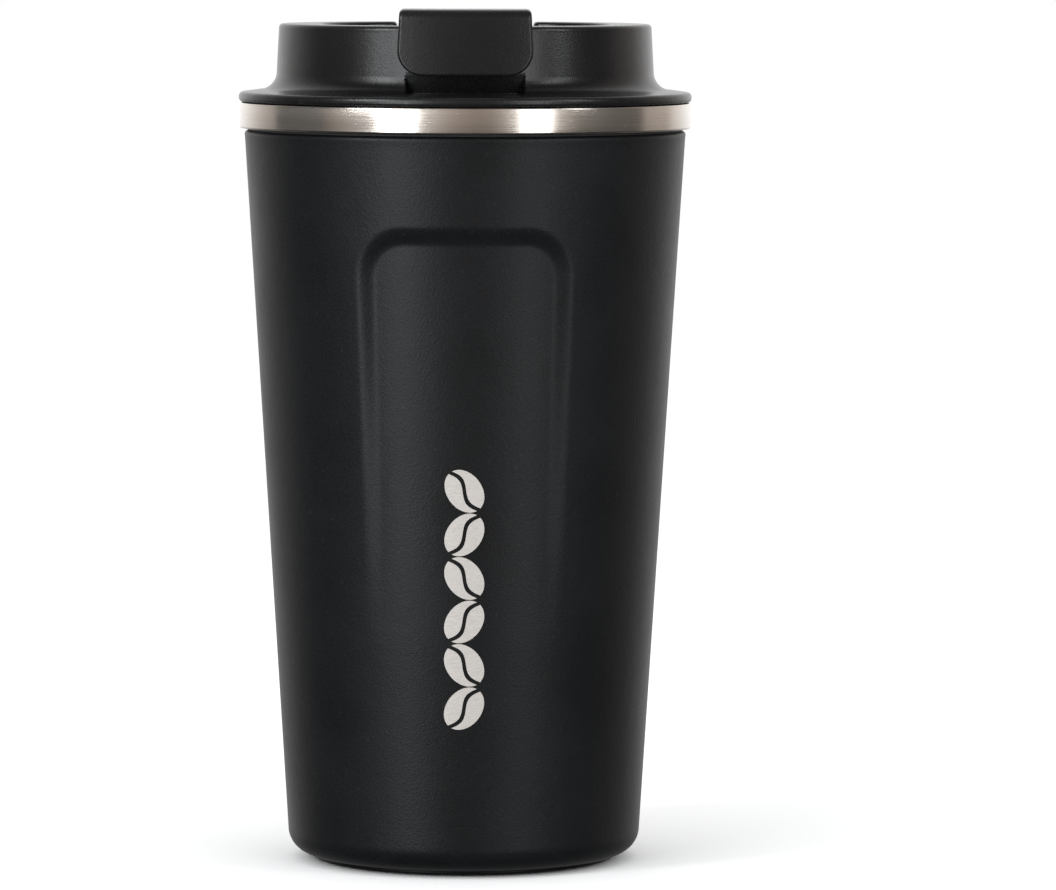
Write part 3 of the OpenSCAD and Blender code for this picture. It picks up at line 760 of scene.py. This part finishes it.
groove = PLUG_Z + GROOVE_LOW
ring_in, ring_out, lip_out, lips_made, lip_pitch = 37.65, 38.7, 39.45, 3, 1.3
lips = [(ring_in, groove + 0.1, 0), (ring_out, groove + 0.1, 0.1)]
for k in range(lips_made):
    z = groove + 0.4 + k * lip_pitch
    lips += [(ring_out, z, 0.1), (lip_out, z + 0.28, 0.1), (lip_out, z + 0.52, 0.1), (ring_out, z + 0.8, 0.1)]
lips += [(ring_out, groove + 4.1, 0.1), (ring_in, groove + 4.1, 0)]
place(revolve("plug_gasket", rounded(lips, 4), 256), "lid", "main_gasket", grey_silicone)

# ---------------------------------------------------------------- the flap's pieces
place(field_mesh("flap_skin", flap_field, (-28.5, -40.5, TAB_LOW_Z), (28.5, 3, TAB_TOP_Z), 0.2, 0.5),
      "flap", "flap", lid_plastic)
place(field_mesh("spout_seal", drink_seal_field,
                 (-9.5, -24, low("drink_seal")), (9.5, -14, PLATE_Z - SEAT_DEPTH), 0.12, 0.4),
      "flap", "drink_seal", grey_silicone)
place(field_mesh("vent_button", vent_seal_field,
                 (-3, -12.5, low("vent_seal")), (3, -6.5, PLATE_Z - SEAT_DEPTH), 0.1, 0.5),
      "flap", "vent_seal", grey_silicone)

# ---------------------------------------------------------------- CAD pieces shown as they are
SHOWN_AS_CAD = (("radiant_foil", foil_copper), ("flask_bottom", liner_steel), ("getter", getter_metal),
                ("seal_bead", getter_metal), ("bottom_spacer", spacer_foam), ("lid_floor", core_plastic),
                ("hinge_pin", pin_steel))
for name, material in SHOWN_AS_CAD:
    nodes[name].data.materials.clear()
    nodes[name].data.materials.append(material)

# ---------------------------------------------------------------- studio
def floor_material():
    """Pale paint. It is clear to reflections and shadows, so that the mug doesn't mirror a white floor."""
    t = Tree("floor_paint")
    soft = t.noise(6, 3)
    t.set(Base_Color=t.mix(t.remap(soft, 0.3, 0.7, 0, 1), (0.83, 0.83, 0.83), (0.85, 0.85, 0.85)),
          Roughness=0.9, Specular_IOR_Level=0.1)
    path = t.node("ShaderNodeLightPath")
    unseen = t.math("MAXIMUM", path.outputs["Is Glossy Ray"], path.outputs["Is Shadow Ray"])
    clear = t.node("ShaderNodeMixShader", {0: unseen})
    t.tree.links.new(t.bsdf.outputs[0], clear.inputs[1])
    t.tree.links.new(t.node("ShaderNodeBsdfTransparent").outputs[0], clear.inputs[2])
    t.tree.links.new(clear.outputs[0], t.tree.nodes["Material Output"].inputs[0])
    return t.material


def build_floor(half):
    b = bmesh.new()
    corners = ((-half, -half, 0), (half, -half, 0), (half, half, 0), (-half, half, 0))
    b.faces.new([b.verts.new(p) for p in corners])
    bmesh.ops.subdivide_edges(b, edges=b.edges[:], cuts=8, use_grid_fill=True)
    mesh = bpy.data.meshes.new("floor")
    b.to_mesh(mesh)
    b.free()
    mesh.materials.append(floor_material())
    o = bpy.data.objects.new("floor", mesh)
    bpy.context.scene.collection.objects.link(o)
    return o


build_floor(20)


def soft_box(name, place_at, aim, width, height, radiance, colour=(1, 1, 1)):
    lamp = bpy.data.lights.new(name, "AREA")
    lamp.shape = "RECTANGLE"
    lamp.size, lamp.size_y = width, height
    lamp.energy = radiance * math.pi * width * height
    lamp.color = colour
    o = bpy.data.objects.new(name, lamp)
    bpy.context.scene.collection.objects.link(o)
    o.location = place_at
    o.rotation_euler = (Vector(aim) - Vector(place_at)).to_track_quat("-Z", "Y").to_euler()
    return o


def polar(azimuth, distance, z):
    a = math.radians(azimuth)
    return (distance * math.sin(a), -distance * math.cos(a), z)


AIM, COOL, DISTANCE = (0, 0, 0.1), (0.95, 0.98, 1.0), 1.25
# Soft boxes, as (name, azimuth, height of its middle, width, height, radiance)
SOFT_BOXES = (("left_box", -34.5, 0.25, 0.42, 1.1, 4.4),
              ("right_box", 35.5, 0.25, 0.37, 1.1, 2.8),
              ("high_left_box", -53, 0.70, 0.28, 0.9, 9.0),
              ("high_right_box", 60, 0.70, 0.22, 0.9, 5.0))
for name, azimuth, z, width, height, radiance in SOFT_BOXES:
    soft_box(name, polar(azimuth, DISTANCE, z), AIM, width, height, radiance, COOL)

# Diffuse light comes evenly from all round, so the floor stays pale. What shiny surfaces see is a studio
# that is bright behind the mug, dim beside it and in front, and dark underfoot.
world = bpy.data.worlds.new("studio")
world.use_nodes = True
bpy.context.scene.world = world
wt = world.node_tree


def sky(kind, values=None, **settings):
    n = wt.nodes.new(kind)
    for key, value in settings.items():
        setattr(n, key, value)
    for key, value in (values or {}).items():
        if isinstance(value, bpy.types.NodeSocket):
            wt.links.new(value, n.inputs[key])
        else:
            n.inputs[key].default_value = value
    return n.outputs[0]


def ramp(value, stops):
    """Colour ramp from (position, level, warmth) stops."""
    n = wt.nodes.new("ShaderNodeValToRGB")
    wt.links.new(value, n.inputs[0])
    while len(n.color_ramp.elements) < len(stops):
        n.color_ramp.elements.new(1.0)
    for e, (at, level, warmth) in zip(n.color_ramp.elements, stops):
        e.position = at
        e.color = (level, level * (1 - 0.14 * warmth), level * (1 - 0.24 * warmth), 1)
    return n.outputs[0]


# Panels round the studio, as (azimuth in degrees, level, warmth). 0 is in front of the mug and 180 behind it.
PANELS = [(-180, 0.70, 0), (-150, 0.60, 0), (-124, 0.30, 0.4), (-113, 0.22, 0.4), (-111, 0.07, 0),
          (-78, 0.08, 0), (-74, 0.13, 0.8), (-60, 0.24, 0.5), (-48, 0.34, 0.2), (-20, 0.34, 0.3),
          (-8, 0.22, 0.9), (4, 0.15, 1), (14, 0.15, 1), (24, 0.30, 0.5), (50, 0.26, 0.6), (60, 0.11, 0.5),
          (80, 0.07, 0.4), (101, 0.07, 0.6), (104, 0.24, 0.7), (126, 0.28, 0.7), (131, 0.42, 0.4),
          (150, 0.60, 0), (180, 0.70, 0)]
# The same studio from straight down to straight up, as (share of the way, level, warmth)
HEIGHTS = [(0.0, 0.2, 0), (0.30, 0.32, 0), (0.42, 1.1, 0), (0.50, 2.0, 0), (0.62, 1.8, 0), (0.8, 1.2, 0),
           (1.0, 1.2, 0)]
DIFFUSE_LEVEL = 1.22
geo = wt.nodes.new("ShaderNodeNewGeometry")
xyz = wt.nodes.new("ShaderNodeSeparateXYZ")
wt.links.new(geo.outputs["Incoming"], xyz.inputs[0])
turn = sky("ShaderNodeMath", {0: xyz.outputs[0], 1: xyz.outputs[1]}, operation="ARCTAN2")
turn = sky("ShaderNodeMath", {0: turn, 1: -1 / (2 * math.pi), 2: 0.5}, operation="MULTIPLY_ADD")
around = ramp(turn, [(0.5 + azimuth / 360, level, warmth) for azimuth, level, warmth in PANELS])
rise = sky("ShaderNodeMath", {0: xyz.outputs[2], 1: -0.5, 2: 0.5}, operation="MULTIPLY_ADD")
updown = ramp(rise, HEIGHTS)
shiny = wt.nodes.new("ShaderNodeMix")
shiny.data_type = "RGBA"
shiny.blend_type = "MULTIPLY"
shiny.inputs[0].default_value = 1.0
wt.links.new(around, shiny.inputs[6])
wt.links.new(updown, shiny.inputs[7])
path = wt.nodes.new("ShaderNodeLightPath")
seen = wt.nodes.new("ShaderNodeMix")
seen.data_type = "RGBA"
wt.links.new(path.outputs["Is Glossy Ray"], seen.inputs[0])
seen.inputs[6].default_value = (DIFFUSE_LEVEL, DIFFUSE_LEVEL, DIFFUSE_LEVEL, 1)
wt.links.new(shiny.outputs[2], seen.inputs[7])
wt.links.new(seen.outputs[2], wt.nodes["Background"].inputs["Color"])

# The camera, a little above the mug's top and turned by a small roll
CAMERA_AT, CAMERA_AIM, ROLL, LENS, SENSOR = (0, -1.340, 0.1869), (0.0127, 0, 0.0828), 0.16, 229, 36
cam_data = bpy.data.cameras.new("camera")
cam_data.sensor_width = SENSOR
cam_data.lens = LENS
cam = bpy.data.objects.new("camera", cam_data)
bpy.context.scene.collection.objects.link(cam)
cam.location = CAMERA_AT
aim = (Vector(CAMERA_AIM) - cam.location).to_track_quat("-Z", "Y")
cam.rotation_euler = (aim @ Quaternion((0, 0, 1), math.radians(ROLL))).to_euler()
cam_data.clip_start, cam_data.clip_end = 0.05, 50
bpy.context.scene.camera = cam
bpy.context.scene.view_settings.view_transform = "Standard"
